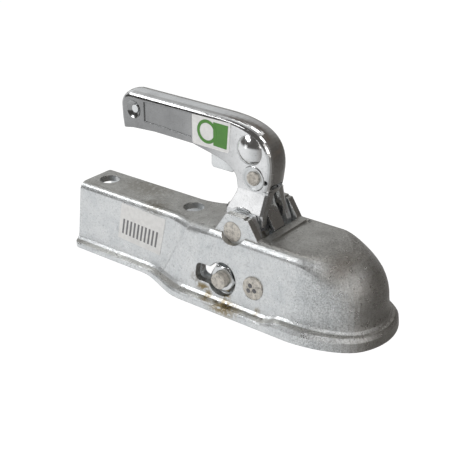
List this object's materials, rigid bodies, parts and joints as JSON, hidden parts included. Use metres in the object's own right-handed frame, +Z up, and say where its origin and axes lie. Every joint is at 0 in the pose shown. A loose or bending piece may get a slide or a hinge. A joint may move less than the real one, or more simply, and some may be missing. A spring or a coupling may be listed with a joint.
{
  "type": "trailer coupling head",
  "caption": "Pressed-steel trailer coupling head with a ball socket, a sprung clamp jaw, a lifting handle and a squeeze catch",
  "frame": {"origin": "centre of the ball opening, in the plane of the rim's underside", "axes": "+X forward along the coupling to the dome, +Y to the trailer's left, +Z up along the drawbar bolts"},
  "size_m": [0.228, 0.076, 0.1123],
  "materials": {
    "galvanised_sheet": "hot-dip galvanised, mottled satin grey",
    "zinc_steel": "bright zinc plate",
    "dull_steel": "dull zinc plate",
    "dark_steel": "oiled dark steel"
  },
  "bodies": {
    "head": {"body_shell": "galvanised_sheet", "inner_plate_left": "galvanised_sheet", "inner_plate_right": "galvanised_sheet", "pivot_pin": "dull_steel", "jaw_rivet": "dull_steel", "jaw_spacer_left": "zinc_steel", "jaw_spacer_right": "zinc_steel", "cross_bolt": "zinc_steel", "hex_nut": "zinc_steel", "bolt_sleeve": "zinc_steel", "closing_spring": "dark_steel"},
    "handle": {"handle_shell": "zinc_steel", "cam_pin": "dull_steel", "tip_rivet": "dull_steel", "catch_rivet": "dull_steel", "catch_spring": "dark_steel"},
    "catch": {"safety_catch": "dark_steel"},
    "jaw": {"clamp_jaw": "zinc_steel"}
  },
  "joints": [
    {"name": "handle_lift", "type": "hinge", "parent": "head", "child": "handle", "pos_m": [-0.0596, 0, 0.0484], "axis": [0, 1, 0], "range_deg": [0, 35], "stiffness_Nm_per_rad": 1.5, "springref_deg": -22.92, "deforming": ["closing_spring"]},
    {"name": "catch_squeeze", "type": "hinge", "parent": "handle", "child": "catch", "pos_m": [-0.0552, 0, 0.0784], "axis": [0, 1, 0], "range_deg": [0, 6], "stiffness_Nm_per_rad": 0.3, "springref_deg": -11.46, "deforming": ["catch_spring"]},
    {"name": "jaw_clamp", "type": "hinge", "parent": "head", "child": "jaw", "pos_m": [-0.0395, 0, 0.0203], "axis": [0, 1, 0], "range_deg": [0, 15.5]}
  ],
  "couplings": [
    {"joint": "jaw_clamp", "follows": "handle_lift", "ratio": 0.44286}
  ]
}
